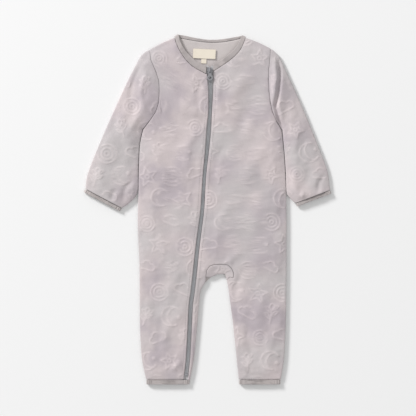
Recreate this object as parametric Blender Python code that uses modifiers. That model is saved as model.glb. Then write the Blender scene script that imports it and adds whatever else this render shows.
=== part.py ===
"""A baby's zipped onesie of velour, laid flat on its back.

The right and the left are the wearer's: the wearer's right lies at -X, the neck at +Y.
The origin is on the surface it lies on, under the middle of its outline.
Tables are in millimetres, and MM scales them to Blender's metres.
"""

import math

import bmesh
import bpy
import numpy as np
from mathutils import Vector, geometry

MM = 0.001

# Driving dimensions
WALL = 2.0  # thickness of the velour
SEAM_GAP = 0.3  # between two pieces where a seam joins them
SEAM_Z = WALL + SEAM_GAP  # underside of a front piece where it is sewn to the back
CROWN = 5.0  # underside of the front over the body
LEG_CROWN = 4.2  # underside of the front over the legs
CROTCH_Y = -100.0
HEM_Y = -272.8  # lower edge of the legs' cloth
BINDING_DEPTH = 6.9  # of a leg's binding
BINDING_HIGH = 5.4
CUFF_DEPTH = 5.2  # of a sleeve's binding
CUFF_HIGH = 5.2
CUFF_STEP_OUT = 0.6  # the cuff sits a little further out than the sleeve's end
BINDING_WALL = 1.2
BINDING_GAP = SEAM_GAP + 0.15  # the fronts' faceted walls lean out a little at the hem
NECK_GAP = SEAM_GAP + 0.3  # the neck binding's chords cut its curve
NET = 13.0  # side of the triangles inside a panel
EDGE_STEP = 9.0  # spacing of the points along a panel's edge
ARMHOLE_STEP = 14.0
UNDERARM_CLEAR = 1.2  # more room at the underarm, where the side seam curves out

TAPE_THICK = 0.7
TAPE_ROOM = 0.2  # between the tape and the fronts, beyond the seam's gap
TAPES_PART = 2.0  # from the zip's middle to each tape, above the slider
CHAIN_WIDTH = 4.4
CHAIN_THICK = 1.5
CHAIN_TOP_Y = 215.0
CHAIN_END = 11.0  # above the hem
STOP_AT = 8.4  # middle of the bottom stop, above the hem
STOP_WIDTH = 5.6
STOP_LENGTH = 3.4

SLIDER_Y = 221.0  # middle of the slider's body
SLIDER_WIDTH = 8.2
SLIDER_LENGTH = 10.5
PLATE_THICK = 1.3
LOWER_PLATE_THICK = 0.9
POST = (1.8, 3.4)  # width and length of the post between the plates
POST_FORWARD = 2.9  # towards the neck from the slider's middle
HINGE_FORWARD = 1.0
AXIS_ABOVE_PLATE = 1.5
BAIL_WIDTH = 1.7
BAIL_LENGTH = 6.8
BAIL_ABOVE_AXIS = 2.3
WINDOW = (6.0, 3.6, 2.6)  # the opening through the bail, for the tab's bar
TAB_THICK = 1.2
TAB_DROOP = math.radians(3.4)  # the tab rests against the zip below its hinge
TAB_LENGTH = 12.6  # from the hinge axis to the middle of the eyelet
TAB_HALF_WIDTH = 2.3  # of its neck
TAB_BAR = 0.85  # half the width of the bar in the bail
TAB_SLOT = (2.5, 5.2)  # width, and far end from the hinge axis
EYELET_RADIUS = 4.7
EYELET_HOLE = 2.3

LABEL = (36.0, 15.0, 0.6)
LABEL_CENTRE = (-5.7, 248.0)
LABEL_TILT = math.radians(-2.5)
SIZE_TAB = (8.4, 9.0, 0.5)
SIZE_TAB_CENTRE = (-6.5, 237.2)

# Outline of the garment, each table from the top down, as (x, y).
NECK_BACK = (
    (-52.7, 273.6), (-44.7, 273.0), (-19.7, 268.4), (4.7, 265.8), (29.3, 267.4), (53.3, 272.4), (59.9, 273.2),
)
NECK_BACK_FREE = (
    (-46.5, 278.5), (-40.7, 278.4), (-27.7, 275.0), (4.7, 270.4), (37.3, 273.5), (48.3, 276.6), (53.8, 276.6),
)
NECK_RIGHT = ((-53.3, 273.6), (-48.7, 259.5), (-38.2, 241.5), (-25.2, 228.0), (-10.7, 219.5), (-3.1, 215.5))
NECK_RIGHT_FREE = (
    (-46.5, 278.5), (-43.0, 264.8), (-33.3, 250.1), (-20.1, 237.1), (-8.2, 230.3), (-2.1, 228.0),
)
NECK_LEFT = ((60.5, 273.2), (52.8, 255.0), (40.3, 241.2), (27.3, 231.6), (16.3, 224.4), (8.7, 219.5))
NECK_LEFT_FREE = ((53.8, 276.6), (46.7, 260.5), (35.4, 248.5), (22.3, 238.7), (13.3, 233.0), (8.5, 231.0))
SHOULDER_RIGHT = ((-53.3, 273.6), (-72.7, 265.2), (-92.7, 254.4))
SHOULDER_LEFT = ((60.5, 273.2), (80.3, 266.0), (100.1, 256.2))
ARMHOLE_RIGHT = (
    (-92.7, 254.4), (-90.9, 238.0), (-82.7, 219.5), (-77.7, 204.0), (-77.3, 186.0),
    (-78.5, 169.0), (-83.0, 155.2), (-92.7, 140.5), (-103.1, 126.4),
)
ARMHOLE_LEFT = (
    (100.1, 256.2), (98.9, 240.0), (97.3, 224.0), (96.7, 208.0), (97.6, 190.0),
    (99.5, 172.0), (102.9, 156.0), (108.9, 141.0), (117.5, 125.6),
)
SIDE_RIGHT = (
    (-103.1, 126.4), (-108.1, 103.0), (-110.0, 62.0), (-110.6, 28.0), (-111.7, -12.0), (-111.1, -48.0),
    (-109.1, -90.0), (-108.7, -154.0), (-108.1, -196.0), (-105.3, -239.0), (-98.3, HEM_Y),
)
SIDE_LEFT = (
    (117.5, 125.6), (121.1, 90.0), (123.3, 58.0), (124.5, 28.0), (125.1, -14.0), (125.1, -60.0),
    (124.9, -120.0), (123.9, -184.0), (121.5, -238.0), (115.9, HEM_Y),
)
INSEAM_RIGHT = (
    (-4.1, -117.5), (-11.3, -129.0), (-14.1, -146.0), (-16.5, -175.0), (-19.3, -206.0), (-22.9, -239.0),
    (-29.3, HEM_Y),
)
INSEAM_LEFT = ((27.7, -103.5), (32.5, -124.0), (36.7, -155.0), (40.9, -188.0), (46.9, -247.0), (49.7, HEM_Y))
CROTCH_ARCH = ((-4.1, -117.5), (4.3, -109.2), (14.3, -104.4), (27.7, -103.5))
# The gusset's sewn edge, from the right inseam over the crotch to the left leg.
GUSSET_SEAM = (
    (-4.1, -117.5), (-3.3, -108.0), (-2.1, -98.0), (2.8, -91.0), (10.3, -88.6), (21.3, -88.2),
    (31.8, -89.2), (38.3, -94.5), (41.3, -102.0), (41.1, -110.0),
)
GUSSET_FOOT = ((41.1, -110.0), (35.3, -109.0), (30.5, -114.0))

# Sleeve edges from the armhole to the cuff. The upper starts at the shoulder, the lower at the underarm.
UPPER_RIGHT = (
    (-92.7, 254.4), (-105.5, 246.6), (-120.7, 219.6), (-143.7, 171.2), (-169.3, 113.6), (-191.8, 57.0),
    (-195.5, 32.2),
)
LOWER_RIGHT = (
    (-103.1, 126.4), (-109.4, 103.0), (-111.4, 62.0), (-112.0, 29.0), (-121.3, 13.2), (-137.3, 1.4),
)
UPPER_LEFT = (
    (100.1, 256.2), (112.9, 245.4), (127.3, 215.0), (150.3, 164.0), (173.3, 108.0), (190.6, 62.0),
    (195.2, 30.2),
)
LOWER_LEFT = ((117.5, 125.6), (122.4, 90.0), (124.6, 58.0), (126.0, 24.0), (132.3, 16.0), (139.5, 9.2))

# The zip, from the neck to the hem: middle of the chain, underside of the tape, half the tape's width,
# and half the gap between the two fronts.
ZIP = (
    # y, x, z, half_tape, half_gap
    (229.0, 2.9, 3.4, 6.5, 4.9),
    (207.0, 4.0, 3.4, 8.0, 4.9),
    (190.0, 4.6, 3.4, 8.0, 4.3),
    (160.0, 3.9, 3.4, 8.0, 3.0),
    (143.0, 2.7, 3.4, 8.0, 3.4),
    (126.0, 1.4, 3.4, 8.0, 4.0),
    (94.0, -1.2, 3.4, 8.0, 3.3),
    (62.0, -4.6, 3.4, 8.0, 2.9),
    (37.0, -6.5, 3.4, 8.0, 2.9),
    (-5.0, -9.1, 3.4, 8.0, 3.1),
    (-48.0, -14.9, 3.4, 8.0, 3.4),
    (-80.0, -18.5, 3.3, 6.0, 3.5),
    (-100.0, -20.5, 3.1, 4.1, 3.6),
    (-132.0, -24.1, 2.8, 4.1, 3.6),
    (-154.0, -27.3, 2.6, 4.0, 3.6),
    (-196.0, -29.3, 2.4, 3.9, 3.6),
    (-239.0, -31.7, 2.3, 3.9, 3.6),
    (HEM_Y, -35.5, 2.3, 3.9, 3.6),
)
ZIP_BED = 20.0  # how far from the zip the front comes down to it

# How far in from each sewn edge the front reaches its full height.
SIDE_RISE = 16.0
INNER_LEG_RISE = 12.0
ZIP_LEG_RISE = 3.4

# The fold that stands beside each armhole
RIDGE_FROM_SEAM = 15.0
RIDGE_HALF_WIDTH = 9.0
RIDGE_HEIGHT = 2.4
EDGE_THICK = SEAM_Z + WALL  # outer thickness of a flattened tube at its two edges
ACROSS = 9  # points across one layer of a binding


# ---- Curves through the tables ----

def smooth_curve(points, step):
    """Points about `step` apart on a Catmull-Rom curve through the given points, both ends kept."""
    points = [np.array(point, float) for point in points]
    padded = [2 * points[0] - points[1], *points, 2 * points[-1] - points[-2]]
    curve = [points[0]]
    for before, start, end, after in zip(padded, padded[1:], padded[2:], padded[3:]):
        pieces = max(1, round(float(np.linalg.norm(end - start)) / step))
        for piece in range(1, pieces + 1):
            t = piece / pieces
            curve.append(0.5 * (
                2 * start + (end - before) * t
                + (2 * before - 5 * start + 4 * end - after) * t ** 2
                + (3 * start - before - 3 * end + after) * t ** 3
            ))
    return np.array(curve)


def spaced(points, count):
    """`count` points at even distances along a fine polyline."""
    lengths = np.concatenate([[0.0], np.cumsum(np.linalg.norm(np.diff(points, axis=0), axis=1))])
    wanted = np.linspace(0.0, lengths[-1], count)
    return np.stack([np.interp(wanted, lengths, column) for column in points.T], axis=1)


def smoothstep(value):
    value = np.clip(value, 0.0, 1.0)
    return value * value * (3.0 - 2.0 * value)


def sideways(points):
    """Unit normals to the right of a plan polyline's direction."""
    along = np.gradient(points[:, :2], axis=0)
    along /= np.linalg.norm(along, axis=1, keepdims=True)
    return np.stack([along[:, 1], -along[:, 0]], axis=1)


def moved_right(points, distance):
    """A plan polyline moved to the right of its direction."""
    return points + distance * sideways(points)


def distance_to(polyline, x, y):
    """Shortest distance from (x, y) to a polyline."""
    place = np.array((x, y))
    start, step = polyline[:-1], np.diff(polyline, axis=0)
    share = np.clip(((place - start) * step).sum(axis=1) / (step ** 2).sum(axis=1), 0.0, 1.0)
    return float(np.linalg.norm(place - start - step * share[:, None], axis=1).min())


def zip_at(y):
    """The zip's middle x, tape underside z, half tape width and half gap at a height on the garment."""
    table = np.array(ZIP)[::-1]
    return tuple(float(np.interp(y, table[:, 0], table[:, column])) for column in (1, 2, 3, 4))


SEWN_EDGES = (
    (smooth_curve(SHOULDER_RIGHT, EDGE_STEP), SIDE_RISE),
    (smooth_curve(SHOULDER_LEFT, EDGE_STEP), SIDE_RISE),
    (smooth_curve(SIDE_RIGHT, EDGE_STEP), SIDE_RISE),
    (smooth_curve(SIDE_LEFT, EDGE_STEP), SIDE_RISE),
    (smooth_curve(INSEAM_RIGHT, EDGE_STEP), ZIP_LEG_RISE),
    (smooth_curve(INSEAM_LEFT, EDGE_STEP), INNER_LEG_RISE),
    (smooth_curve(CROTCH_ARCH, EDGE_STEP), INNER_LEG_RISE),
)


def front_underside(x, y):
    """Height of the front's underside: low at sewn edges, full inside, and down to the tape at the zip."""
    zip_x, tape_z, _, half_gap = zip_at(y)
    at_zip = tape_z + TAPE_THICK + SEAM_GAP + TAPE_ROOM
    crown = LEG_CROWN + (CROWN - LEG_CROWN) * smoothstep((y - CROTCH_Y + 40.0) / 80.0)
    level = at_zip + (crown - at_zip) * smoothstep((abs(x - zip_x) - half_gap) / ZIP_BED)
    rise = min(smoothstep(distance_to(edge, x, y) / reach) for edge, reach in SEWN_EDGES)
    return float(SEAM_Z + (level - SEAM_Z) * rise)


# ---- Objects ----

def clear_scene():
    for old in list(bpy.data.objects):
        bpy.data.objects.remove(old, do_unlink=True)


def material(name, colour, roughness, metallic=0.0):
    made = bpy.data.materials.new(name)
    made.use_nodes = True
    shader = made.node_tree.nodes["Principled BSDF"]
    shader.inputs["Base Color"].default_value = (*colour, 1.0)
    shader.inputs["Roughness"].default_value = roughness
    shader.inputs["Metallic"].default_value = metallic
    made.diffuse_color = (*colour, 1.0)
    return made


def collection_named(name):
    made = bpy.data.collections.new(name)
    bpy.context.scene.collection.children.link(made)
    return made


def add_object(name, data, group, look=None):
    made = bpy.data.objects.new(name, data)
    group.objects.link(made)
    if look is not None:
        data.materials.append(look)
    return made


def mesh_of(name, shape):
    bmesh.ops.recalc_face_normals(shape, faces=shape.faces)
    mesh = bpy.data.meshes.new(name)
    shape.to_mesh(mesh)
    shape.free()
    return mesh


def add_boolean(target, other, operation):
    cut = target.modifiers.new(operation.title(), "BOOLEAN")
    cut.operation = operation
    cut.object = other


def as_mesh(curve_object):
    """A curve object turned into a welded mesh object of the same name and place."""
    graph = bpy.context.evaluated_depsgraph_get()
    mesh = bpy.data.meshes.new_from_object(curve_object.evaluated_get(graph))
    shape = bmesh.new()
    shape.from_mesh(mesh)
    bmesh.ops.remove_doubles(shape, verts=shape.verts, dist=0.00001)
    bmesh.ops.recalc_face_normals(shape, faces=shape.faces)
    shape.to_mesh(mesh)
    shape.free()
    name, group = curve_object.name, curve_object.users_collection[0]
    place = curve_object.matrix_world.copy()
    bpy.data.objects.remove(curve_object, do_unlink=True)
    made = bpy.data.objects.new(name, mesh)
    made.matrix_world = place
    group.objects.link(made)
    return made


def flat_plate(name, outlines, thickness, group, look, bottom=0.0):
    """A plate of even thickness from closed plan outlines in millimetres: first the edge, then the holes."""
    curve = bpy.data.curves.new(name, "CURVE")
    curve.dimensions = "2D"
    curve.fill_mode = "BOTH"
    curve.extrude = thickness / 2 * MM
    for outline in outlines:
        spline = curve.splines.new("POLY")
        spline.points.add(len(outline) - 1)
        for point, (x, y) in zip(spline.points, outline):
            point.co = (x * MM, y * MM, 0.0, 1.0)
        spline.use_cyclic_u = True
    made = add_object(name, curve, group, look)
    made.location.z = (bottom + thickness / 2) * MM
    return made


def joined(*edges):
    """One closed outline from edges that follow each other, with the shared ends kept once."""
    outline = []
    for edge in edges:
        for x, y in edge:
            if not outline or math.dist(outline[-1], (x, y)) > 0.5:
                outline.append((float(x), float(y)))
    if math.dist(outline[0], outline[-1]) <= 0.5:
        outline.pop()
    return outline


def net_points(outline):
    """A triangular net of points inside an outline, clear of its edge."""
    edge = np.array([*outline, outline[0]])
    low, high = edge.min(axis=0), edge.max(axis=0)
    polygon = [Vector((*point, 0.0)) for point in outline]
    fill = geometry.tessellate_polygon([polygon])
    triangles = [[polygon[corner].to_2d() for corner in corners] for corners in fill]
    points = []
    for row in range(int((high[1] - low[1]) / (NET * 0.866)) + 1):
        y = low[1] + row * NET * 0.866
        for column in range(int((high[0] - low[0]) / NET) + 1):
            x = low[0] + (column + 0.5 * (row % 2)) * NET
            inside = any(geometry.intersect_point_tri_2d((x, y), *corners) for corners in triangles)
            if inside and distance_to(edge, x, y) > 0.55 * NET:
                points.append((x, y))
    return points


def cloth_panel(name, outline, group, look):
    """A front piece: its outline filled with a net of triangles at the front's height, WALL thick."""
    flat = [Vector(point) for point in [*outline, *net_points(outline)]]
    loop = [(i, (i + 1) % len(outline)) for i in range(len(outline))]
    found, _, faces, _, _, _ = geometry.delaunay_2d_cdt(flat, loop, [], 1, 1e-5)
    shape = bmesh.new()
    corners = [shape.verts.new((x * MM, y * MM, front_underside(x, y) * MM)) for x, y in found]
    for face in faces:
        shape.faces.new([corners[i] for i in face])
    mesh = mesh_of(name, shape)
    if mesh.polygons[0].normal.z < 0:
        mesh.flip_normals()
    made = add_object(name, mesh, group, look)
    shell = made.modifiers.new("Wall", "SOLIDIFY")
    shell.thickness = WALL * MM
    shell.offset = 1.0
    shell.use_even_offset = False
    return made


def loft(name, rings, group, look, capped=True):
    """A closed solid through rings of equal length. Uncapped, the last ring joins the first."""
    shape = bmesh.new()
    rows = [[shape.verts.new(Vector(point) * MM) for point in ring] for ring in rings]
    pairs = list(zip(rows, rows[1:])) + ([] if capped else [(rows[-1], rows[0])])
    for here, there in pairs:
        for i in range(len(here)):
            j = (i + 1) % len(here)
            shape.faces.new((here[i], here[j], there[j], there[i]))
    if capped:
        shape.faces.new(rows[0])
        shape.faces.new(rows[-1])
    mesh = mesh_of(name, shape)
    return add_object(name, mesh, group, look)


def flat_tube(name, upper, start, lower, end, top, group, look):
    """A flattened tube of cloth, open at its start and end edges, lying at z = 0 with its top at top(x, y).

    start runs from upper to lower and end from lower back to upper. Each wall is WALL thick.
    """
    outline = joined(start, lower, end, upper[::-1])
    sealed = [distance_to(upper, *point) < 0.01 or distance_to(lower, *point) < 0.01 for point in outline]
    flat = [Vector(point) for point in [*outline, *net_points(outline)]]
    count = len(outline)
    loop = [(i, (i + 1) % count) for i in range(count)]
    plan, _, faces, _, _, _ = geometry.delaunay_2d_cdt(flat, loop, [], 1, 1e-5)
    twice_area = sum(plan[i].cross(plan[j]) for i, j in loop)
    inner_plan = [Vector(point) for point in plan]
    for i in range(count):
        if not sealed[i]:
            continue
        before, after = plan[i - 1], plan[(i + 1) % count]
        first = before if sealed[i - 1] else plan[i]
        last = after if sealed[(i + 1) % count] else plan[i]
        along = (last - first).normalized()
        inward = Vector((-along.y, along.x)) * math.copysign(1.0, twice_area)
        if first is not before or last is not after:
            to_sealed, to_free = (last - plan[i], before - plan[i]) if first is not before else (
                first - plan[i], after - plan[i])
            if to_sealed.dot(to_free) > 0.0:
                inward = to_free.normalized()
        inner_plan[i] = plan[i] + inward * WALL
    shape = bmesh.new()

    def layer(places, height):
        return [shape.verts.new((x * MM, y * MM, height(i) * MM)) for i, (x, y) in enumerate(places)]

    heights = [top(x, y) for x, y in plan]
    outer = layer(plan, lambda i: heights[i]), layer(plan, lambda i: 0.0)
    inner = layer(inner_plan, lambda i: heights[i] - WALL), layer(inner_plan, lambda i: WALL)
    for face in faces:
        for level in (*outer, *inner):
            shape.faces.new([level[corner] for corner in face])
    for i, j in loop:
        if sealed[i] and sealed[j]:
            for high, low in (outer, inner):
                shape.faces.new((high[i], high[j], low[j], low[i]))
        else:
            for out, hollow in zip(outer, inner):
                shape.faces.new((out[i], out[j], hollow[j], hollow[i]))
    for i in range(count):
        if sealed[i] and not (sealed[i - 1] and sealed[(i + 1) % count]):
            shape.faces.new((outer[0][i], inner[0][i], inner[1][i], outer[1][i]))
    return add_object(name, mesh_of(name, shape), group, look)


# ---- Body ----

def back_panel(group, look):
    outline = joined(
        smooth_curve(NECK_BACK, EDGE_STEP),
        smooth_curve(SHOULDER_LEFT, EDGE_STEP),
        smooth_curve(ARMHOLE_LEFT, ARMHOLE_STEP),
        smooth_curve(SIDE_LEFT, EDGE_STEP),
        smooth_curve(INSEAM_LEFT, EDGE_STEP)[::-1],
        smooth_curve(CROTCH_ARCH, EDGE_STEP)[::-1],
        smooth_curve(INSEAM_RIGHT, EDGE_STEP),
        smooth_curve(SIDE_RIGHT, EDGE_STEP)[::-1],
        smooth_curve(ARMHOLE_RIGHT, ARMHOLE_STEP)[::-1],
        smooth_curve(SHOULDER_RIGHT, EDGE_STEP)[::-1],
    )
    return flat_plate("back", [outline], WALL, group, look)


def zip_edge(side, top_y):
    """The edge of a front along the zip, from top_y down. side is -1 for the right front, 1 for the left."""
    levels = [top_y, *(row[0] for row in ZIP if row[0] < top_y - EDGE_STEP / 2)]
    return smooth_curve([(zip_at(y)[0] + side * zip_at(y)[3], y) for y in levels], EDGE_STEP)


def front_right(group, look):
    outline = joined(
        smooth_curve(NECK_RIGHT, EDGE_STEP),
        zip_edge(-1, NECK_RIGHT[-1][1]),
        smooth_curve(SIDE_RIGHT, EDGE_STEP)[::-1],
        smooth_curve(ARMHOLE_RIGHT, ARMHOLE_STEP)[::-1],
        smooth_curve(SHOULDER_RIGHT, EDGE_STEP)[::-1],
    )
    return cloth_panel("front_right", outline, group, look)


def front_left(group, look):
    inseam = smooth_curve(INSEAM_RIGHT, EDGE_STEP)
    left_leg = smooth_curve((GUSSET_FOOT[-1], *INSEAM_LEFT[1:]), EDGE_STEP)
    outline = joined(
        smooth_curve(NECK_LEFT, EDGE_STEP),
        zip_edge(1, NECK_LEFT[-1][1]),
        inseam[::-1],
        smooth_curve(GUSSET_SEAM, EDGE_STEP),
        smooth_curve(GUSSET_FOOT, EDGE_STEP),
        left_leg,
        smooth_curve(SIDE_LEFT, EDGE_STEP)[::-1],
        smooth_curve(ARMHOLE_LEFT, ARMHOLE_STEP)[::-1],
        smooth_curve(SHOULDER_LEFT, EDGE_STEP)[::-1],
    )
    return cloth_panel("front_left", outline, group, look)


def crotch_gusset(group, look):
    """The crescent between the gusset seam and the crotch arch, a seam's gap inside both fronts."""
    seam = moved_right(smooth_curve(GUSSET_SEAM, EDGE_STEP), SEAM_GAP + 0.1)
    foot = moved_right(smooth_curve(GUSSET_FOOT, EDGE_STEP), SEAM_GAP + 0.1)
    arch = smooth_curve(CROTCH_ARCH, EDGE_STEP)
    corner = (GUSSET_FOOT[0][0] - SEAM_GAP - 0.1, GUSSET_FOOT[0][1] + SEAM_GAP + 0.2)
    outline = joined(seam[1:-1], [corner], foot[1:], arch[::-1][:-1])
    return cloth_panel("crotch_gusset", outline, group, look)


# ---- Sleeves and their bindings ----

def layered_ring(plan, thickness, wall):
    """Outer and inner loops of a flattened tube across the plan points, lying at z = 0."""
    share = np.linspace(0.0, 1.0, len(plan))
    crown = EDGE_THICK + (thickness - EDGE_THICK) * smoothstep(np.minimum(share, 1 - share) / 0.22)
    outward = (plan[-1] - plan[0]) / np.linalg.norm(plan[-1] - plan[0])

    def loop(inset):
        first, last = plan[0] + outward * inset, plan[-1] - outward * inset
        body = [plan[i] for i in range(1, len(plan) - 1)]
        top = [(*point, crown[i + 1] - inset) for i, point in enumerate(body)]
        bottom = [(*point, inset) for point in body]
        middle = EDGE_THICK / 2
        half = middle - inset
        near_first, near_last = first + outward * half * 0.6, last - outward * half * 0.6
        return [
            (*first, middle), (*near_first, middle + half), *top, (*near_last, middle + half),
            (*last, middle), (*near_last, middle - half), *bottom[::-1], (*near_first, middle - half),
        ]

    return loop(0.0), loop(wall)


def tube_shell(name, sections, group, look):
    """A flattened tube, open at both ends: out along its outer loops and back along its inner ones."""
    outer = [section[0] for section in sections]
    inner = [section[1] for section in sections]
    return loft(name, [*outer, *inner[::-1]], group, look, capped=False)


def sleeve(name, upper, lower, armhole, away, group, look):
    """A set-in sleeve, a seam's gap outside the armhole. away is the sign of x on its side of the body."""
    armhole = moved_right(smooth_curve(armhole, ARMHOLE_STEP), -away * (SEAM_GAP + 0.1))
    armhole[-1, 0] += away * UNDERARM_CLEAR
    upper = smooth_curve((armhole[0], *upper[1:]), EDGE_STEP)
    lower = smooth_curve((armhole[-1], *lower[1:]), EDGE_STEP)
    cuff = spaced(np.array([lower[-1], upper[-1]]), 6)

    def top(x, y):
        inside = min(distance_to(upper, x, y), distance_to(lower, x, y))
        from_ridge = distance_to(armhole, x, y) - RIDGE_FROM_SEAM
        ridge = RIDGE_HEIGHT * math.exp(-(from_ridge / RIDGE_HALF_WIDTH) ** 2)
        return EDGE_THICK + (CROWN - SEAM_Z + ridge) * float(smoothstep(inside / SIDE_RISE))

    return flat_tube(name, upper, armhole, lower, cuff, top, group, look)


def binding_ring(name, start, end, depth_along, depth, thickness, group, look):
    """An elastic binding: a short flat tube standing off the line start-end, towards depth_along."""
    along = np.array(depth_along) / np.linalg.norm(depth_along)
    shares = 0.5 - 0.5 * np.cos(np.linspace(0.0, math.pi, ACROSS))
    line = np.array([np.array(start) + (np.array(end) - np.array(start)) * share for share in shares])
    sections = []
    for distance in (BINDING_GAP, BINDING_GAP + depth / 2, BINDING_GAP + depth):
        sections.append(layered_ring(line + along * distance, thickness, BINDING_WALL))
    return tube_shell(name, sections, group, look)


def across_line(start, end, turn):
    """The unit direction at a right angle to a line, to its right for turn 1 and to its left for -1."""
    dx, dy = end[0] - start[0], end[1] - start[1]
    length = math.hypot(dx, dy)
    return (turn * dy / length, -turn * dx / length)


def sleeves(group, look, trim):
    sleeve("sleeve_right", UPPER_RIGHT, LOWER_RIGHT, ARMHOLE_RIGHT, -1, group, look)
    sleeve("sleeve_left", UPPER_LEFT, LOWER_LEFT, ARMHOLE_LEFT, 1, group, look)
    for name, upper, lower, away in (
        ("cuff_binding_right", UPPER_RIGHT, LOWER_RIGHT, -1),
        ("cuff_binding_left", UPPER_LEFT, LOWER_LEFT, 1),
    ):
        step = (away * CUFF_STEP_OUT, 0.0)
        start, end = np.array(lower[-1]) + step, np.array(upper[-1]) + step
        binding_ring(name, start, end, across_line(start, end, away), CUFF_DEPTH, CUFF_HIGH, group, trim)


def leg_bindings(group, trim):
    for name, outer, inner in (
        ("leg_binding_right", SIDE_RIGHT, INSEAM_RIGHT), ("leg_binding_left", SIDE_LEFT, INSEAM_LEFT),
    ):
        start, end = sorted((outer[-1], inner[-1]))
        binding_ring(name, start, end, (0.0, -1.0), BINDING_DEPTH, BINDING_HIGH, group, trim)


# ---- Neck binding ----

def neck_station(free, seam, low, high):
    """One section of the binding as (free edge outside, seam outside, seam inside, free edge inside)."""
    return [(*free, high), (*seam, high), (*seam, low), (*free, low)]


def neck_front(free_table, seam_table, count):
    """Sections up one side of the front, from the zip to the neck point."""
    free = spaced(smooth_curve(free_table, 3.0), count)[::-1]
    seam = spaced(smooth_curve(seam_table, 3.0), count)[::-1]
    sections = []
    for i in range(count):
        gap = (free[i] - seam[i]) / np.linalg.norm(free[i] - seam[i]) * NECK_GAP
        low = front_underside(*(seam[i] + gap)) + 0.1
        sections.append(neck_station(free[i], seam[i] + gap, low, low + WALL))
    return sections


def neck_fold(free, seam, outward):
    """The binding turning over the shoulder from the front layer to the back one."""
    def out(place, distance, height):
        return (place[0] + outward[0] * distance, place[1] + outward[1] * distance, height)

    middle = SEAM_Z - SEAM_GAP / 2 + 0.05
    return [
        out(free, WALL, middle + 0.4), out(seam, WALL, middle + 0.4),
        out(seam, 0.3, middle), out(free, 0.3, middle),
    ]


def neck_binding(group, trim):
    front_count, back_count = 9, 11
    gap = np.array((0.0, NECK_GAP))
    free = spaced(smooth_curve(NECK_BACK_FREE, 3.0), back_count)
    seam = spaced(smooth_curve(NECK_BACK, 3.0), back_count) + gap
    back = [
        [(*free[i], 0.0), (*seam[i], 0.0), (*seam[i], WALL), (*free[i], WALL)] for i in range(back_count)
    ]
    right = neck_front(NECK_RIGHT_FREE, NECK_RIGHT, front_count)
    left = neck_front(NECK_LEFT_FREE, NECK_LEFT, front_count)[::-1]
    right_fold = neck_fold(free[0], seam[0], (-0.7, 0.7))
    left_fold = neck_fold(free[-1], seam[-1], (0.7, 0.7))
    loft("neck_binding", [*right, right_fold, *back, left_fold, *left], group, trim)


# ---- Zip ----

def zip_strip(name, inner, outer, bottom, thick, top_y, end_y, group, look):
    """A strip along the zip. inner, outer and bottom give its edges and its underside for any y."""
    levels = [top_y, *(row[0] for row in ZIP if end_y + 6.0 < row[0] < top_y - 6.0), end_y]
    sections = []
    for y in levels:
        x = zip_at(y)[0]
        low = bottom(y)
        near, far, high = x + inner(y), x + outer(y), low + thick
        sections.append([(near, y, low), (far, y, low), (far, y, high), (near, y, high)])
    return loft(name, sections, group, look)


def zip_parts(group, tape_look, chain_look):
    def tape_inner(y):
        return TAPES_PART if y > SLIDER_Y else 0.2

    for name, side in (("zip_tape_right", -1), ("zip_tape_left", 1)):
        zip_strip(
            name, lambda y, side=side: side * tape_inner(y), lambda y, side=side: side * zip_at(y)[2],
            lambda y: zip_at(y)[1], TAPE_THICK, ZIP[0][0], HEM_Y, group, tape_look,
        )
    zip_strip(
        "zip_chain", lambda y: -CHAIN_WIDTH / 2, lambda y: CHAIN_WIDTH / 2,
        lambda y: zip_at(y)[1] + TAPE_THICK + SEAM_GAP, CHAIN_THICK, CHAIN_TOP_Y, HEM_Y + CHAIN_END,
        group, chain_look,
    )


def rounded_box(name, size, place, bevel, group, look=None):
    bpy.ops.mesh.primitive_cube_add(size=1.0, location=[value * MM for value in place])
    made = bpy.context.object
    made.name = name
    made.scale = [value * MM for value in size]
    bpy.ops.object.transform_apply(location=False, rotation=False, scale=True)
    for owner in made.users_collection:
        owner.objects.unlink(made)
    group.objects.link(made)
    if look is not None:
        made.data.materials.append(look)
    if bevel:
        edge = made.modifiers.new("Bevel", "BEVEL")
        edge.width = bevel * MM
        edge.segments = 2
    return made


def bottom_stop(group, look):
    y = HEM_Y + STOP_AT
    x, tape_z, _, _ = zip_at(y)
    high = CHAIN_THICK + 0.2
    place = (x, y, tape_z + TAPE_THICK + SEAM_GAP + high / 2)
    rounded_box("zip_bottom_stop", (STOP_WIDTH, STOP_LENGTH, high), place, 0.4, group, look)


def slider_outline(width, length):
    """Plan of a slider plate: round shoulders at the neck end, narrowing towards the chain."""
    half = width / 2
    right = [(half * 0.62, -length / 2), (half * 0.84, -length / 2 + 1.2), (half, 0.6)]
    right += [
        (half * math.cos(turn), length / 2 - half * 0.7 + half * 0.7 * math.sin(turn))
        for turn in np.linspace(0.0, math.pi / 2, 6)
    ]
    return right + [(-x, y) for x, y in right[::-1][1:]]


def slider_heights():
    """Undersides of the lower plate and the upper plate, and the height of the tab's axis."""
    _, tape_z, _, _ = zip_at(SLIDER_Y)
    lower = tape_z - SEAM_GAP - LOWER_PLATE_THICK
    upper = tape_z + TAPE_THICK + SEAM_GAP + CHAIN_THICK + SEAM_GAP
    return lower, upper, upper + PLATE_THICK + AXIS_ABOVE_PLATE


def hinge_place():
    x = zip_at(SLIDER_Y)[0]
    return Vector((x, SLIDER_Y + HINGE_FORWARD, slider_heights()[2])) * MM


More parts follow.
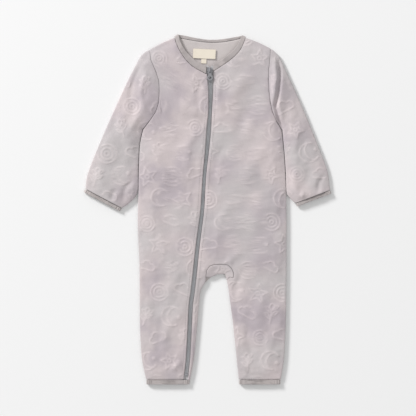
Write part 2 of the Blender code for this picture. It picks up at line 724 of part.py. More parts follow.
def zip_slider(group, cutters, look):
    """Two plates, the post between them that parts the chain, and the bail that holds the pull tab."""
    x = zip_at(SLIDER_Y)[0]
    lower, upper, axis = slider_heights()
    plan = [[(px + x, py + SLIDER_Y) for px, py in slider_outline(SLIDER_WIDTH, SLIDER_LENGTH)]]
    body = as_mesh(flat_plate("zip_slider", plan, PLATE_THICK, group, None, bottom=upper))
    body.data.materials.append(look)
    plate = as_mesh(flat_plate("slider_lower_plate", plan, LOWER_PLATE_THICK, cutters, None, bottom=lower))
    post_height = upper - lower
    post_place = (x, SLIDER_Y + POST_FORWARD, lower + post_height / 2 + 0.2)
    post = rounded_box("slider_post", (*POST, post_height), post_place, 0.0, cutters)
    bail_low, bail_high = upper + PLATE_THICK - 0.4, axis + BAIL_ABOVE_AXIS
    middle = SLIDER_Y + HINGE_FORWARD
    bail_size = (BAIL_WIDTH, BAIL_LENGTH, bail_high - bail_low)
    bail = rounded_box("slider_bail", bail_size, (x, middle, (bail_low + bail_high) / 2), 0.6, cutters)
    window = rounded_box("slider_window", WINDOW, (x, middle, axis), 0.0, cutters)
    add_boolean(bail, window, "DIFFERENCE")
    for extra in (plate, post, bail):
        add_boolean(body, extra, "UNION")
    for helper in (plate, post, bail, window):
        helper.hide_render = True
        helper.display_type = "WIRE"


def arc(centre, radius, start, end, count):
    return [
        (centre[0] + radius * math.cos(turn), centre[1] + radius * math.sin(turn))
        for turn in np.linspace(start, end, count)
    ]


def pull_tab(group, look):
    """A flat tab with a slot round the bail and an eyelet at its end. Its origin is on the hinge's axis."""
    bar, neck, half = TAB_BAR, TAB_HALF_WIDTH, TAB_SLOT[0] / 2
    join = math.asin(neck / EYELET_RADIUS)
    outline = [(-neck, bar * 0.6), (-neck * 0.8, bar), (neck * 0.8, bar), (neck, bar * 0.6)]
    outline += arc((0.0, -TAB_LENGTH), EYELET_RADIUS, math.pi / 2 - join, -3 * math.pi / 2 + join, 25)
    slot = [(-half, -bar), (half, -bar), (half, -TAB_SLOT[1]), (-half, -TAB_SLOT[1])]
    hole = arc((0.0, -TAB_LENGTH), EYELET_HOLE, 0.0, 2 * math.pi, 19)[:-1]
    tab = flat_plate("zip_pull_tab", [outline, slot, hole], TAB_THICK, group, look)
    tab.location = hinge_place()
    tab.rotation_euler.x = TAB_DROOP


# ---- Labels ----

def turned_rectangle(centre, width, depth, tilt):
    cos, sin = math.cos(tilt), math.sin(tilt)
    return [
        (centre[0] + x * width * cos - y * depth * sin, centre[1] + x * width * sin + y * depth * cos)
        for x, y in ((-0.5, -0.5), (0.5, -0.5), (0.5, 0.5), (-0.5, 0.5))
    ]


def labels(group, look):
    width, depth, thick = LABEL
    outline = turned_rectangle(LABEL_CENTRE, width, depth, LABEL_TILT)
    size_width, size_depth, size_thick = SIZE_TAB
    size_outline = turned_rectangle(SIZE_TAB_CENTRE, size_width, size_depth, LABEL_TILT)
    flat_plate("size_tab", [size_outline], size_thick, group, look, bottom=SEAM_Z)
    flat_plate("neck_label", [outline], thick, group, look, bottom=SEAM_Z + size_thick + SEAM_GAP)


def main():
    clear_scene()
    onesie = collection_named("onesie_pajama")
    cutters = collection_named("cutters")
    velour = material("velour", (0.52, 0.47, 0.475), 0.9)
    trim = material("binding_jersey", (0.47, 0.44, 0.43), 0.85)
    tape = material("zip_tape_cloth", (0.36, 0.37, 0.39), 0.8)
    coil = material("zip_coil", (0.30, 0.31, 0.33), 0.5)
    metal = material("zip_metal", (0.55, 0.56, 0.58), 0.4, 1.0)
    woven = material("label_cloth", (0.82, 0.76, 0.66), 0.8)
    back_panel(onesie, velour)
    front_right(onesie, velour)
    front_left(onesie, velour)
    crotch_gusset(onesie, velour)
    sleeves(onesie, velour, trim)
    leg_bindings(onesie, trim)
    neck_binding(onesie, trim)
    zip_parts(onesie, tape, coil)
    bottom_stop(onesie, metal)
    zip_slider(onesie, cutters, metal)
    pull_tab(onesie, metal)
    labels(onesie, woven)


main()
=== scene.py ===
"""Looks of the velour onesie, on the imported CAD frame.

Soft cloth with an embossed relief, zip teeth and stitching.
Metres, +Z up, the neck at +Y. The wearer's right lies at -X.
Every cloth piece starts from its CAD node's own mesh, made finer.
Functions of x and y then move its points up and down.
"""

import math
import random

import bmesh
import bpy
import numpy as np
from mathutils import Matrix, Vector, kdtree, noise
from mathutils.bvhtree import BVHTree


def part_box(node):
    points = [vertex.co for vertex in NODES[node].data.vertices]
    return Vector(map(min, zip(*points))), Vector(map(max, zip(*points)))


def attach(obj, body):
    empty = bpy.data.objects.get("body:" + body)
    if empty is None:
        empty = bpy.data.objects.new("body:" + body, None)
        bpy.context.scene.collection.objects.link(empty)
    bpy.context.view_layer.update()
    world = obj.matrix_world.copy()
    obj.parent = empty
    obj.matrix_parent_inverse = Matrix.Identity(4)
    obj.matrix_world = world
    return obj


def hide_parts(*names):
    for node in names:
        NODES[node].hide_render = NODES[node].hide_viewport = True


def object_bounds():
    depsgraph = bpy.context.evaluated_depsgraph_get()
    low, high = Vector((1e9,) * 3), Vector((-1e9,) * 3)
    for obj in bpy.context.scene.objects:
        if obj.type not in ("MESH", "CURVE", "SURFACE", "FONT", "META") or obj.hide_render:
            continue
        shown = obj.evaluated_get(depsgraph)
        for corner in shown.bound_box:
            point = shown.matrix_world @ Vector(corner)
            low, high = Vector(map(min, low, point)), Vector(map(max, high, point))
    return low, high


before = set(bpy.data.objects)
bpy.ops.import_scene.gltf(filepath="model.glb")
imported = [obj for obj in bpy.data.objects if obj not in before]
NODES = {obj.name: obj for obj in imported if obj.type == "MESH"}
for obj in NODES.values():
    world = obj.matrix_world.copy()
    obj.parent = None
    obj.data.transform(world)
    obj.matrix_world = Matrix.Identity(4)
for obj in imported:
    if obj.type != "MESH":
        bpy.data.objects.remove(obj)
cad_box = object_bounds()
MM = 0.001

# ---- Materials ----

PATCH_RANGE = (0.40, 0.62)
TINT_RANGE = (0.42, 0.66)
PILE_RANGE = (0.35, 0.75)
FLECK_SHADE = 0.86  # the dark flecks of the pile, as a share of the dark colour
FLECK_SHARE = 0.22
RELIEF_PALE = 1.28  # the embossed lines, as a multiple of the light colour


def sheet_material(
    name, light, dark, tint, roughness, sheen, patch_scale, fibre, fibre_depth, relief=0.0
):
    """Cloth with soft patches of three colours and a fine pile. On the velour the light and dark
    patches are painted sheen; on the other materials they are uneven tone.

    relief is how much the embossed lines are lightened.
    """
    made = bpy.data.materials.new(name)
    made.use_nodes = True
    nodes, links = made.node_tree.nodes, made.node_tree.links
    shader = nodes["Principled BSDF"]
    shader.inputs["Roughness"].default_value = roughness
    shader.inputs["Sheen Weight"].default_value = sheen
    shader.inputs["Sheen Roughness"].default_value = 0.45
    shader.inputs["Specular IOR Level"].default_value = 0.12
    place = nodes.new("ShaderNodeTexCoord")

    def cloudy(scale, detail, offset):
        shift = nodes.new("ShaderNodeMapping")
        shift.inputs["Location"].default_value = offset
        links.new(place.outputs["Object"], shift.inputs["Vector"])
        made_noise = nodes.new("ShaderNodeTexNoise")
        made_noise.inputs["Scale"].default_value = scale
        made_noise.inputs["Detail"].default_value = detail
        links.new(shift.outputs["Vector"], made_noise.inputs["Vector"])
        return made_noise.outputs["Fac"]

    def ramp(value, low, high):
        made_ramp = nodes.new("ShaderNodeMapRange")
        made_ramp.interpolation_type = "SMOOTHSTEP"
        made_ramp.inputs["From Min"].default_value = low
        made_ramp.inputs["From Max"].default_value = high
        links.new(value, made_ramp.inputs["Value"])
        return made_ramp.outputs["Result"]

    def mix(share, first, second):
        made_mix = nodes.new("ShaderNodeMix")
        made_mix.data_type = "RGBA"
        links.new(share, made_mix.inputs["Factor"])
        for value, socket in ((first, made_mix.inputs["A"]), (second, made_mix.inputs["B"])):
            if isinstance(value, tuple):
                socket.default_value = (*value, 1.0)
            else:
                links.new(value, socket)
        return made_mix.outputs["Result"]

    # Light and dark patches: painted sheen on the velour, uneven tone on the other materials.
    sheen_and_tone_patches = ramp(cloudy(patch_scale, 3.0, (0.0, 0.0, 0.0)), *PATCH_RANGE)
    tints = ramp(cloudy(patch_scale * 0.6, 2.0, (3.1, 1.7, 0.0)), *TINT_RANGE)
    colour = mix(tints, mix(sheen_and_tone_patches, light, dark), tint)
    pile = cloudy(fibre, 4.0, (0.0, 0.0, 0.0))
    shade = tuple(channel * FLECK_SHADE for channel in dark)
    flecks = mix(ramp(pile, *PILE_RANGE), shade, light)
    blend = nodes.new("ShaderNodeMix")
    blend.data_type = "RGBA"
    blend.inputs["Factor"].default_value = FLECK_SHARE
    links.new(colour, blend.inputs["A"])
    links.new(flecks, blend.inputs["B"])
    result = blend.outputs["Result"]
    if relief:
        line = nodes.new("ShaderNodeAttribute")
        line.attribute_name = "relief"
        strength = nodes.new("ShaderNodeMath")
        strength.operation = "MULTIPLY"
        strength.inputs[1].default_value = relief
        links.new(line.outputs["Fac"], strength.inputs[0])
        pale = tuple(min(1.0, channel * RELIEF_PALE) for channel in light)
        result = mix(strength.outputs["Value"], result, pale)
    links.new(result, shader.inputs["Base Color"])
    bump = nodes.new("ShaderNodeBump")
    bump.inputs["Strength"].default_value = 0.5
    bump.inputs["Distance"].default_value = fibre_depth
    links.new(pile, bump.inputs["Height"])
    links.new(bump.outputs["Normal"], shader.inputs["Normal"])
    return made


def plain_material(name, colour, roughness, metallic=0.0, grain=900.0, grain_depth=0.00008):
    """One colour with a fine grain, for thread, zip and labels."""
    darker = tuple(channel * 0.88 for channel in colour)
    made = sheet_material(name, colour, darker, colour, roughness, 0.0, 60.0, grain, grain_depth)
    shader = made.node_tree.nodes["Principled BSDF"]
    shader.inputs["Metallic"].default_value = metallic
    shader.inputs["Specular IOR Level"].default_value = 0.5
    return made


# The velour's light and dark colours, mixed in soft patches, paint its mottled sheen.
VELOUR = sheet_material(
    "velour_pile",
    light=(0.640, 0.565, 0.565), dark=(0.480, 0.425, 0.455), tint=(0.560, 0.530, 0.530),
    roughness=0.92, sheen=0.35, patch_scale=15.0, fibre=1100.0, fibre_depth=0.0006, relief=0.30,
)
BACK_VELOUR = sheet_material(
    "velour_reverse",
    light=(0.620, 0.570, 0.560), dark=(0.540, 0.495, 0.490), tint=(0.590, 0.545, 0.530),
    roughness=0.95, sheen=0.2, patch_scale=17.0, fibre=1700.0, fibre_depth=0.0003,
)
TRIM = sheet_material(
    "binding_jersey_rib",
    light=(0.520, 0.470, 0.460), dark=(0.380, 0.345, 0.340), tint=(0.470, 0.430, 0.425),
    roughness=0.88, sheen=0.25, patch_scale=60.0, fibre=2200.0, fibre_depth=0.0003,
)
THREAD = plain_material("grey_thread", (0.42, 0.39, 0.39), 0.8)
TAPE = plain_material("zip_tape_weave", (0.56, 0.55, 0.56), 0.85, grain=2600.0)
COIL = plain_material("zip_coil_plastic", (0.50, 0.51, 0.53), 0.45)
METAL = plain_material("zip_grey_enamel", (0.36, 0.36, 0.38), 0.35, metallic=0.35)
WOVEN = plain_material("label_ribbon", (0.86, 0.78, 0.66), 0.7, grain=3000.0)


# ---- Shapes from the CAD ----

WELD = 0.02 * MM


def smoothstep(value):
    value = np.clip(value, 0.0, 1.0)
    return value * value * (3.0 - 2.0 * value)


def fine_copy(node, name, straight, rounded, soften):
    """A CAD node's mesh made finer.

    Straight cuts keep its outline. Rounded ones and softening take its facets off.
    """
    mesh = NODES[node].data.copy()
    shape = bmesh.new()
    shape.from_mesh(mesh)
    bmesh.ops.remove_doubles(shape, verts=shape.verts, dist=WELD)
    shape.to_mesh(mesh)
    shape.free()
    piece = bpy.data.objects.new(name, mesh)
    bpy.context.scene.collection.objects.link(piece)
    for kind, levels in (("SIMPLE", straight), ("CATMULL_CLARK", rounded)):
        if levels:
            finer = piece.modifiers.new(kind.title(), "SUBSURF")
            finer.subdivision_type = kind
            finer.levels = finer.render_levels = levels
    if soften:
        soft = piece.modifiers.new("Soften", "SMOOTH")
        soft.factor = 0.5
        soft.iterations = soften
        soft.use_x = soft.use_y = False
    graph = bpy.context.evaluated_depsgraph_get()
    final = bpy.data.meshes.new_from_object(piece.evaluated_get(graph))
    piece.modifiers.clear()
    piece.data = final
    for polygon in final.polygons:
        polygon.use_smooth = True
    return piece


def points_of(piece):
    flat = np.empty(len(piece.data.vertices) * 3)
    piece.data.vertices.foreach_get("co", flat)
    return flat.reshape(-1, 3)


def set_points(piece, points):
    piece.data.vertices.foreach_set("co", points.reshape(-1))
    piece.data.update()


def dress(piece, material, slot, *nodes, body="garment"):
    """Gives a piece its material and body, and hides the nodes it stands for."""
    piece.data.materials.clear()
    piece.data.materials.append(material)
    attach(piece, body)
    if nodes:
        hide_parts(*nodes)


# ---- Embossed relief: small generic motifs ----


def ring(radius, count=40, start=0.0, end=2 * math.pi):
    return [(radius * math.cos(a), radius * math.sin(a)) for a in np.linspace(start, end, count)]


def star_motif():
    corners = []
    for i in range(11):
        reach = 1.0 if i % 2 == 0 else 0.45
        corners.append((math.sin(i * math.pi / 5) * reach, math.cos(i * math.pi / 5) * reach))
    return [corners, ring(0.2, 16)]


def moon_motif():
    outer = ring(0.95, 36, 0.9, 2 * math.pi - 0.9)
    inner = [(x * 0.72 + 0.32, y * 0.93) for x, y in ring(0.95, 30, 1.05, 2 * math.pi - 1.05)]
    return [outer, inner, [(x * 0.16 + 0.75, y * 0.16) for x, y in star_motif()[0]]]


def cloud_motif():
    puffs = (
        # centre x, y, radius, start and end in half turns
        (-0.55, 0.0, 0.38, 1.25, 0.45),
        (-0.08, 0.28, 0.44, 0.9, 0.15),
        (0.55, 0.02, 0.40, 0.6, -0.3),
    )
    top = []
    for x, y, radius, start, end in puffs:
        top += [(x + dx, y + dy) for dx, dy in ring(radius, 14, math.pi * start, math.pi * end)]
    return [[*top, (0.5, -0.32), (-0.7, -0.32), top[0]]]


def rings_motif():
    return [ring(0.9), ring(0.55, 30), ring(0.2, 16)]


def sprig_motif():
    lines = [[(0.0, -1.0), (0.05, -0.3), (0.0, 0.45)]]
    for side, height in ((-1, -0.5), (1, -0.2), (-1, 0.1), (1, 0.35)):
        leaf = []
        for bulge, first, last in ((0.22, 0.0, 1.0), (-0.12, 1.0, 0.0)):
            for t in np.linspace(first, last, 9):
                rise = 0.5 * t + bulge * math.sin(math.pi * t)
                leaf.append((side * 0.62 * t, height + rise))
        lines.append(leaf)
    turns = np.linspace(0.0, 2 * math.pi, 20)
    lines.append([(0.24 * math.sin(a), 0.7 + 0.3 * math.cos(a)) for a in turns])
    return lines


MOTIFS = (star_motif, rings_motif, cloud_motif, sprig_motif, moon_motif)
MOTIF_SIZE = 15.0 * MM
MOTIF_ROW = 37.0 * MM
MOTIF_COLUMN = 40.0 * MM
MOTIF_STRAY = 3.0 * MM  # most that a motif lies off its place in the rows
MOTIF_TURN = 0.5  # most that a motif is turned either way, in radians
MOTIF_SMALLEST = 0.85
MOTIF_LARGEST = 1.12
LINE_STEP = 0.7 * MM
LINE_HALF = 1.15 * MM
LINE_HEIGHT = 0.55 * MM


def relief_tree():
    """A search tree of points along the embossed lines of the whole garment."""
    draw = random.Random(11)
    low, high = cad_box
    spots = []
    rows = int((high[1] - low[1]) / MOTIF_ROW) + 1
    columns = int((high[0] - low[0]) / MOTIF_COLUMN) + 2
    for row in range(rows):
        for column in range(columns):
            x = low[0] + (column + 0.5 * (row % 2)) * MOTIF_COLUMN
            x += draw.uniform(-1, 1) * MOTIF_STRAY
            y = low[1] + row * MOTIF_ROW + draw.uniform(-1, 1) * MOTIF_STRAY
            turn = draw.uniform(-MOTIF_TURN, MOTIF_TURN)
            size = MOTIF_SIZE * draw.uniform(MOTIF_SMALLEST, MOTIF_LARGEST)
            for line in MOTIFS[(row * 2 + column) % len(MOTIFS)]():
                for (ax, ay), (bx, by) in zip(line, line[1:]):
                    steps = max(1, int(math.hypot(bx - ax, by - ay) * size / LINE_STEP))
                    for step in range(steps):
                        px = ax + (bx - ax) * step / steps
                        py = ay + (by - ay) * step / steps
                        spots.append((
                            x + size * (px * math.cos(turn) - py * math.sin(turn)),
                            y + size * (px * math.sin(turn) + py * math.cos(turn)),
                        ))
    tree = kdtree.KDTree(len(spots))
    for i, (x, y) in enumerate(spots):
        tree.insert((x, y, 0.0), i)
    tree.balance()
    return tree


RELIEF = relief_tree()


def relief_at(points):
    """1 on an embossed line, falling to 0 beside it."""
    distance = np.array([RELIEF.find((x, y, 0.0))[2] for x, y, _ in points])
    return np.exp(-(distance / LINE_HALF) ** 2)


# ---- Creases ----

CREASE_STRENGTH = 1.6
CREASE_BEND = 0.10  # how far a crease bows, as a share of its length
CREASE_TAPER = 0.5  # share of its length over which each end fades
CREASES = (
    # start x, start y, end x, end y, half width, height (below zero for a trough), all in mm
    (-62, 196, -18, 150, 9, 1.2), (-70, 176, -30, 128, 8, -0.8), (70, 214, 34, 168, 10, 1.1),
    (82, 178, 48, 120, 9, -0.9), (-88, 98, -52, 40, 11, 0.9), (92, 96, 60, 30, 11, 1.0),
    (-76, 10, -44, -52, 10, -0.7), (104, 12, 70, -50, 12, 0.8), (-20, 120, -34, 60, 7, 0.8),
    (24, 100, 10, 30, 8, -0.7), (30, 0, 16, -62, 8, 0.9), (48, -70, 30, -96, 6, 1.1),
    (60, -96, 44, -140, 7, -0.8), (-40, -96, -62, -150, 8, 0.8), (-90, -120, -66, -190, 9, -0.7),
    (-50, -170, -72, -230, 8, 0.8), (100, -130, 78, -200, 10, 0.8), (62, -190, 84, -250, 7, -0.9),
    (-58, -258, -44, -240, 5, 0.8), (63, -258, 78, -272, 4, -1.0), (112, -190, 96, -250, 7, 0.7),
    (-10, 200, -16, 168, 5, -0.6), (18, 205, 22, 160, 6, 0.8), (38, 228, 62, 200, 8, 0.7),
)
SLEEVE_CREASES = (
    (-112, 226, -118, 150, 6, -1.0), (-100, 214, -102, 160, 5, 1.2), (-140, 150, -120, 96, 8, 0.9),
    (-160, 100, -130, 52, 9, -0.8), (-176, 60, -150, 22, 7, 0.8), (-122, 44, -136, 14, 5, -1.2),
    (-148, 30, -154, 12, 4, -1.1), (112, 214, 118, 150, 7, 1.0), (128, 176, 132, 108, 8, -0.8),
    (150, 132, 140, 70, 8, 0.9), (170, 82, 158, 34, 8, -0.7), (138, 60, 146, 20, 6, 0.9),
    (184, 52, 176, 26, 4, -0.9), (152, 28, 156, 12, 4, 0.9), (108, 236, 124, 196, 6, 0.8),
)


def crease_height(points, creases):
    """Height of soft, tapering troughs and ridges at each point, in metres."""
    x, y = points[:, 0] / MM, points[:, 1] / MM
    total = np.zeros(len(points))
    for ax, ay, bx, by, half, height in creases:
        dx, dy = bx - ax, by - ay
        share = ((x - ax) * dx + (y - ay) * dy) / (dx * dx + dy * dy)
        length = math.hypot(dx, dy)
        bend = CREASE_BEND * length * np.sin(np.clip(share, 0.0, 1.0) * math.pi)
        off = ((x - ax) * dy - (y - ay) * dx) / length - bend
        start = smoothstep((share + CREASE_TAPER / 2) / CREASE_TAPER)
        end = smoothstep((1 + CREASE_TAPER / 2 - share) / CREASE_TAPER)
        total += height * np.exp(-(off / half) ** 2) * start * end
    return total * MM


# The left sleeve hangs over its armhole, as a lip with a hollow behind it. All in mm.
LEFT_FOLD = (
    # y, x
    (244, 108.0), (236, 109.6), (211, 112.0), (188, 109.5),
    (165, 105.5), (143, 110.5), (121, 120.0),
)
FOLD_ENDS = 22.0  # how far the fold takes to fade out at its top and foot
LIP_HEIGHT = 1.6
LIP_HALF = 4.5
LIP_BEFORE = 4.0
HOLLOW_DEPTH = 4.2
HOLLOW_HALF = 3.0
HOLLOW_BEHIND = 3.0


def left_fold_height(points):
    """Height of the left sleeve's lip and hollow at each point, in metres."""
    table = np.array(LEFT_FOLD)[::-1]
    x, y = points[:, 0] / MM, points[:, 1] / MM
    off = x - np.interp(y, table[:, 0], table[:, 1])
    head = smoothstep((table[-1, 0] - y) / FOLD_ENDS)
    foot = smoothstep((y - table[0, 0]) / FOLD_ENDS)
    lip = LIP_HEIGHT * np.exp(-((off + LIP_BEFORE) / LIP_HALF) ** 2)
    hollow = HOLLOW_DEPTH * np.exp(-((off - HOLLOW_BEHIND) / HOLLOW_HALF) ** 2)
    return (lip - hollow) * head * foot * MM


def rumple(points, height, size, seed):
    """Uneven rises and dips about `size` across."""
    place = points / size
    return height * np.array([noise.noise(Vector((x, y, seed))) for x, y, _ in place])


SWELLS = (
    # share of the height, size, place in the noise
    (1.1, 46.0 * MM, 0.0),
    (0.75, 17.0 * MM, 0.37),
    (0.34, 7.0 * MM, 0.71),
)


def undulation(points, height, seed):
    """Slow uneven swells of the cloth lying loose, with small short ones on them."""
    return sum(rumple(points, height * share, size, seed + place) for share, size, place in SWELLS)


FACES_UP = 0.35
POINTS_UP = 0.2
LINE_ROOM = 2.5  # embossed lines reach this many times nearer to an edge than creases do


def edge_room(piece, points, reach):
    """0 on the outline of a piece and 1 from `reach` inside it."""
    outline = [points[corner] for edge in rim_edges(piece) for corner in edge]
    tree = kdtree.KDTree(len(outline))
    for i, place in enumerate(outline):
        tree.insert((place[0], place[1], 0.0), i)
    tree.balance()
    distance = np.array([tree.find((x, y, 0.0))[2] for x, y, _ in points])
    return smoothstep(distance / reach)


def rim_edges(piece):
    """Edges between a face that looks up and one that looks down or aside."""
    shape = bmesh.new()
    shape.from_mesh(piece.data)
    found = []
    for edge in shape.edges:
        if len(edge.link_faces) == 2:
            first, second = (face.normal.z > FACES_UP for face in edge.link_faces)
            if first != second:
                found.append((edge.verts[0].index, edge.verts[1].index))
    shape.free()
    return found


def shape_cloth(piece, creases, wave, seed, reach):
    """Moves a cloth piece's points up and down by its creases, waves and embossed lines."""
    points = points_of(piece)
    room = edge_room(piece, points, reach)
    folds = CREASE_STRENGTH * crease_height(points, creases)
    lift = (folds + undulation(points, wave, seed)) * room
    lines = relief_at(points) * smoothstep(room * LINE_ROOM)
    normals = np.empty(len(points) * 3)
    piece.data.vertices.foreach_get("normal", normals)
    lines[normals.reshape(-1, 3)[:, 2] <= POINTS_UP] = 0.0
    points[:, 2] = np.maximum(points[:, 2] + lift + lines * LINE_HEIGHT, 0.0)
    set_points(piece, points)
    attribute = piece.data.attributes.new("relief", "FLOAT", "POINT")
    attribute.data.foreach_set("value", lines)


# ---- Cloth pieces ----

PANELS = (
    # node, piece, flat width and length and area of the cut, rounds of softening
    ("front_right", "right_front_cloth", 0.19, 0.55, 0.0454, 24),
    ("front_left", "left_front_cloth", 0.17, 0.55, 0.0562, 24),
    ("crotch_gusset", "crotch_gusset_cloth", 0.05, 0.03, 0.0007, 4),
)
PANEL_SEED = 5
PANEL_WAVE = 0.9 * MM
PANEL_EDGE = 9.0 * MM  # how far in from its outline a panel moves freely
SLEEVE_AREAS = (
    # side, place in the noise, area of the cut
    ("right", 21, 0.0295),
    ("left", 22, 0.0232),
)
SLEEVE_WAVE = 0.8 * MM
SLEEVE_EDGE = 8.0 * MM
LOWER_LAYER_TOP = 2.1  # mm, top of a sleeve's lower layer, which stays flat
LAYER_BLEND = 0.6


def front_pieces():
    """The two fronts and the gusset, by node."""
    made = {}
    for node, name, width, length, area, soften in PANELS:
        piece = fine_copy(node, name, 2, 1, soften)
        shape_cloth(piece, CREASES, PANEL_WAVE, PANEL_SEED, PANEL_EDGE)
        dress(piece, VELOUR, "velour", node)
        made[node] = piece
    return made


def back_piece():
    piece = fine_copy("back", "back_cloth", 1, 1, 0)
    dress(piece, BACK_VELOUR, "velour", "back")


def sleeve_pieces():
    for side, seed, area in SLEEVE_AREAS:
        piece = fine_copy(f"sleeve_{side}", f"{side}_sleeve_cloth", 2, 1, 14)
        before = points_of(piece)
        upper = smoothstep((before[:, 2] / MM - LOWER_LAYER_TOP) / LAYER_BLEND)
        shape_cloth(piece, SLEEVE_CREASES, SLEEVE_WAVE, seed, SLEEVE_EDGE)
        after = points_of(piece)
        if side == "left":
            after[:, 2] += left_fold_height(after)
        after[:, 2] = before[:, 2] + (after[:, 2] - before[:, 2]) * upper
        set_points(piece, after)
        dress(piece, VELOUR, "velour", f"sleeve_{side}")


fronts = front_pieces()
back_piece()
sleeve_pieces()


# ---- Bindings ----

GATHER_PITCH = 3.4 * MM
GATHER_DEPTH = 0.28 * MM
WIDE_PITCH = 1.7  # the wider gathers' pitch and depth, as multiples of the close ones'
WIDE_DEPTH = 0.6
GATHER_FLOOR = 2.2  # mm, height below which a binding stays smooth
GATHER_BLEND = 1.2


def gather(piece, along):
    """Small uneven gathers across a binding."""
    points = points_of(piece)
    run = points @ np.array((*along, 0.0))
    phase = random.Random(7).uniform(0, 6)
    close = np.sin(run * 2 * math.pi / GATHER_PITCH)
    wide = np.sin(run * 2 * math.pi / (GATHER_PITCH * WIDE_PITCH) + phase)
    top = smoothstep((points[:, 2] / MM - GATHER_FLOOR) / GATHER_BLEND)
    points[:, 2] += GATHER_DEPTH * (close + WIDE_DEPTH * wide) * top
    set_points(piece, points)


BINDINGS = (
    # node, flat width and length of the strip, area of it that shows, direction it runs in
    ("neck_binding", 0.012, 0.29, 0.0021, (0.7, 0.7)),
    ("cuff_binding_right", 0.012, 0.13, 0.00072, (0.89, -0.45)),
    ("cuff_binding_left", 0.012, 0.12, 0.00066, (0.93, 0.35)),
    ("leg_binding_right", 0.012, 0.14, 0.00098, (1.0, 0.0)),
    ("leg_binding_left", 0.012, 0.13, 0.00094, (1.0, 0.0)),
)
for node, width, length, area, along in BINDINGS:
    piece = fine_copy(node, node + "_cloth", 2, 1, 0)
    if node != "neck_binding":
        gather(piece, along)
    dress(piece, TRIM, "binding_jersey", node)


# ---- Zip ----

LEVEL_NEAR = 0.03 * MM


def chain_middle():
    """The chain's middle from its CAD solid, as rows of y, x and top z."""
    points = points_of(NODES["zip_chain"])
    rows = []
    for level in np.unique(np.round(points[:, 1], 5)):
        near = points[np.abs(points[:, 1] - level) < LEVEL_NEAR]
        rows.append((level, near[:, 0].mean(), near[:, 2].max()))
    return np.array(rows)


CHAIN = chain_middle()


def chain_at(y):
    """Middle x and top z of the chain at this y."""
    return tuple(float(np.interp(y, CHAIN[:, 0], CHAIN[:, i])) for i in (1, 2))


TOOTH_PITCH = 1.45 * MM
TOOTH_WIDTH = 2.3 * MM
TOOTH_LENGTH = 0.62 * TOOTH_PITCH
TOOTH_HEIGHT = 1.45 * MM
TOOTH_TAPER = 0.80
TOOTH_ASIDE = 0.95 * MM  # from the chain's middle to the tooth's
TOOTH_SHIFT = 0.25 * TOOTH_PITCH  # how far the two sides are out of step
TOOTH_BELOW = 0.75 * MM  # from the chain's top down to the tooth's middle
TOOTH_BEVEL = 0.15 * MM
SLOPE_SPAN = 2 * MM


def zip_teeth():
    """Teeth left and right in turn, in place of the chain's plain bar."""
    shape = bmesh.new()
    low, high = CHAIN[0, 0], CHAIN[-1, 0]
    for i in range(int((high - low) / TOOTH_PITCH)):
        y = low + (i + 0.5) * TOOTH_PITCH
        x, top = chain_at(y)
        rise = chain_at(y + SLOPE_SPAN)[0] - chain_at(y - SLOPE_SPAN)[0]
        slope = rise / (2 * SLOPE_SPAN)
        for side in (-1, 1):
            for vert in bmesh.ops.create_cube(shape, size=1.0)["verts"]:
                place = vert.co.copy()
                taper = TOOTH_TAPER if place.z > 0 else 1.0
                local_x = side * TOOTH_ASIDE + place.x * TOOTH_WIDTH * taper
                local_y = side * TOOTH_SHIFT + place.y * TOOTH_LENGTH * taper
                vert.co = Vector((
                    x + local_x + slope * local_y,
                    y + local_y - slope * local_x * 0.5,
                    top - TOOTH_BELOW + place.z * TOOTH_HEIGHT,
                ))
    mesh = bpy.data.meshes.new("zip_teeth")
    shape.to_mesh(mesh)
    shape.free()
    piece = bpy.data.objects.new("zip_teeth", mesh)
    bpy.context.scene.collection.objects.link(piece)
    edge = piece.modifiers.new("Bevel", "BEVEL")
    edge.width = TOOTH_BEVEL
    edge.segments = 1
    dress(piece, COIL, "zip_coil", "zip_chain")


zip_teeth()

KEPT_NODES = (
    # node shown as its CAD solid, its material
    ("zip_tape_right", TAPE),
    ("zip_tape_left", TAPE),
    ("zip_bottom_stop", METAL),
    ("zip_slider", METAL),
    ("zip_pull_tab", METAL),
    ("neck_label", WOVEN),
    ("size_tab", WOVEN),
)
for node, look in KEPT_NODES:
    NODES[node].data.materials.clear()
    NODES[node].data.materials.append(look)


# ---- Stitching ----

STITCH_PITCH = 3.0 * MM
STITCH_LENGTH = 2.2 * MM
THREAD_RADIUS = 0.22 * MM
THREAD_SIDES = 6
THREAD_SECTIONS = (
    # rise over the cloth in mm, share of the radius, at a stitch's start, middle and end
    (-0.1, 0.5),
    (0.2, 1.0),
    (-0.1, 0.5),
)
ABOVE_ALL = 0.05
UP = Vector((0.0, 0.0, 1.0))


def stitch(shape, hits):
    """One stitch through three points of the cloth."""
    along = (hits[2] - hits[0]).normalized()
    across = Vector((-along.y, along.x, 0.0))
    sections = []
    for hit, (rise, share) in zip(hits, THREAD_SECTIONS):
        centre = hit + UP * rise * MM
        circle = []
        for angle in np.linspace(0, 2 * math.pi, THREAD_SIDES + 1)[:-1]:
            outward = across * math.cos(angle) + UP * math.sin(angle)
            circle.append(shape.verts.new(centre + outward * THREAD_RADIUS * share))
        sections.append(circle)
    for here, there in zip(sections, sections[1:]):
        for i in range(THREAD_SIDES):
            after = (i + 1) % THREAD_SIDES
            shape.faces.new((here[i], here[after], there[after], there[i]))
    shape.faces.new(sections[0][::-1])
    shape.faces.new(sections[-1])


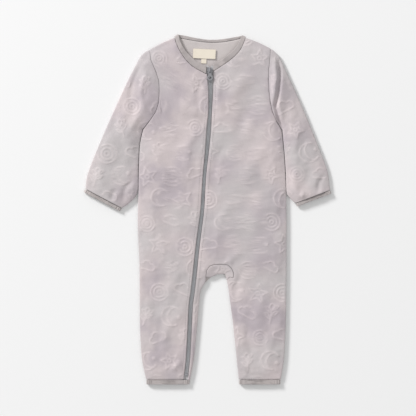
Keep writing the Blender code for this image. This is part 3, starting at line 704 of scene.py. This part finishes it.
def stitch_row(name, route, piece):
    """A row of thread stitches lying on a piece along a plan route."""
    tree = BVHTree.FromObject(piece, bpy.context.evaluated_depsgraph_get())
    route = np.array(route)
    steps = np.linalg.norm(np.diff(route, axis=0), axis=1)
    lengths = np.concatenate([[0.0], np.cumsum(steps)])
    shape = bmesh.new()
    for middle in np.arange(STITCH_PITCH / 2, lengths[-1], STITCH_PITCH):
        hits = []
        for run in (middle - STITCH_LENGTH / 2, middle, middle + STITCH_LENGTH / 2):
            x, y = (float(np.interp(run, lengths, route[:, i])) for i in (0, 1))
            hits.append(tree.ray_cast(Vector((x, y, ABOVE_ALL)), -UP)[0])
        if all(hit is not None for hit in hits):
            stitch(shape, hits)
    mesh = bpy.data.meshes.new(name)
    shape.to_mesh(mesh)
    shape.free()
    made = bpy.data.objects.new(name, mesh)
    bpy.context.scene.collection.objects.link(made)
    for polygon in mesh.polygons:
        polygon.use_smooth = True
    dress(made, THREAD, "binding_jersey")


TOPSTITCH_ASIDE = 7.5 * MM
TOPSTITCH_FOOT = -0.262
HEM_STITCH_UP = 2.2 * MM
HEM_STITCH_END = 3 * MM
TOPSTITCH_STEP = 6.0 * MM
HEM_STITCH_STEP = 3 * MM


def along_zip(offset, high):
    """A route beside the chain, from `high` down to the hem."""
    levels = np.arange(high, TOPSTITCH_FOOT, -TOPSTITCH_STEP)
    return [(chain_at(y)[0] + offset, y) for y in levels]


def hem_route(node):
    """A level route just over a leg binding."""
    low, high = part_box(node)
    level = high[1] + HEM_STITCH_UP
    places = np.arange(low[0] + HEM_STITCH_END, high[0] - HEM_STITCH_END, HEM_STITCH_STEP)
    return [(x, level) for x in places]


stitch_row("zip_topstitch_right", along_zip(-TOPSTITCH_ASIDE, 0.200), fronts["front_right"])
stitch_row("zip_topstitch_left", along_zip(TOPSTITCH_ASIDE, 0.205), fronts["front_left"])
for side in ("right", "left"):
    stitch_row(f"hem_stitch_{side}", hem_route(f"leg_binding_{side}"), fronts[f"front_{side}"])


# ---- Stage ----

FLOOR_SIDE = 6.0
FLOOR_Z = -0.4 * MM
FLOOR_GREY = 0.90
SKY_STRENGTH = 0.56
LIGHTS = (
    # name, place, size in m, watts
    ("key", (-5.1, 4.8, 3.0), 1.6, 560.0),
    ("fill", (2.8, -2.0, 4.8), 3.5, 26.0),
)
CAMERA_PLACE = (0.0002, 0.0016, 3.0)
FRAME_WIDTH = 0.6656  # m, seen at the floor
SENSOR = 36.0


def studio():
    bpy.ops.mesh.primitive_plane_add(size=FLOOR_SIDE, location=(0.0, 0.0, FLOOR_Z))
    floor = bpy.context.object
    floor.name = "floor"
    floor_look = bpy.data.materials.new("pale_floor")
    floor_look.use_nodes = True
    inputs = floor_look.node_tree.nodes["Principled BSDF"].inputs
    inputs["Base Color"].default_value = (FLOOR_GREY, FLOOR_GREY, FLOOR_GREY, 1.0)
    inputs["Roughness"].default_value = 1.0
    inputs["Specular IOR Level"].default_value = 0.0
    floor.data.materials.append(floor_look)
    world = bpy.data.worlds.new("studio")
    world.use_nodes = True
    sky = world.node_tree.nodes["Background"].inputs
    sky["Color"].default_value = (1.0, 1.0, 1.0, 1.0)
    sky["Strength"].default_value = SKY_STRENGTH
    bpy.context.scene.world = world
    for name, place, size, power in LIGHTS:
        light = bpy.data.lights.new(name, "AREA")
        light.size = size
        light.energy = power
        lamp = bpy.data.objects.new(name, light)
        lamp.location = place
        lamp.rotation_euler = (-Vector(place)).to_track_quat("-Z", "Y").to_euler()
        bpy.context.scene.collection.objects.link(lamp)


def camera():
    data = bpy.data.cameras.new("camera")
    data.sensor_width = SENSOR
    data.lens = SENSOR * CAMERA_PLACE[2] / FRAME_WIDTH
    made = bpy.data.objects.new("camera", data)
    made.location = CAMERA_PLACE
    bpy.context.scene.collection.objects.link(made)
    bpy.context.scene.camera = made


studio()
camera()
bpy.context.scene.view_settings.view_transform = "Standard"
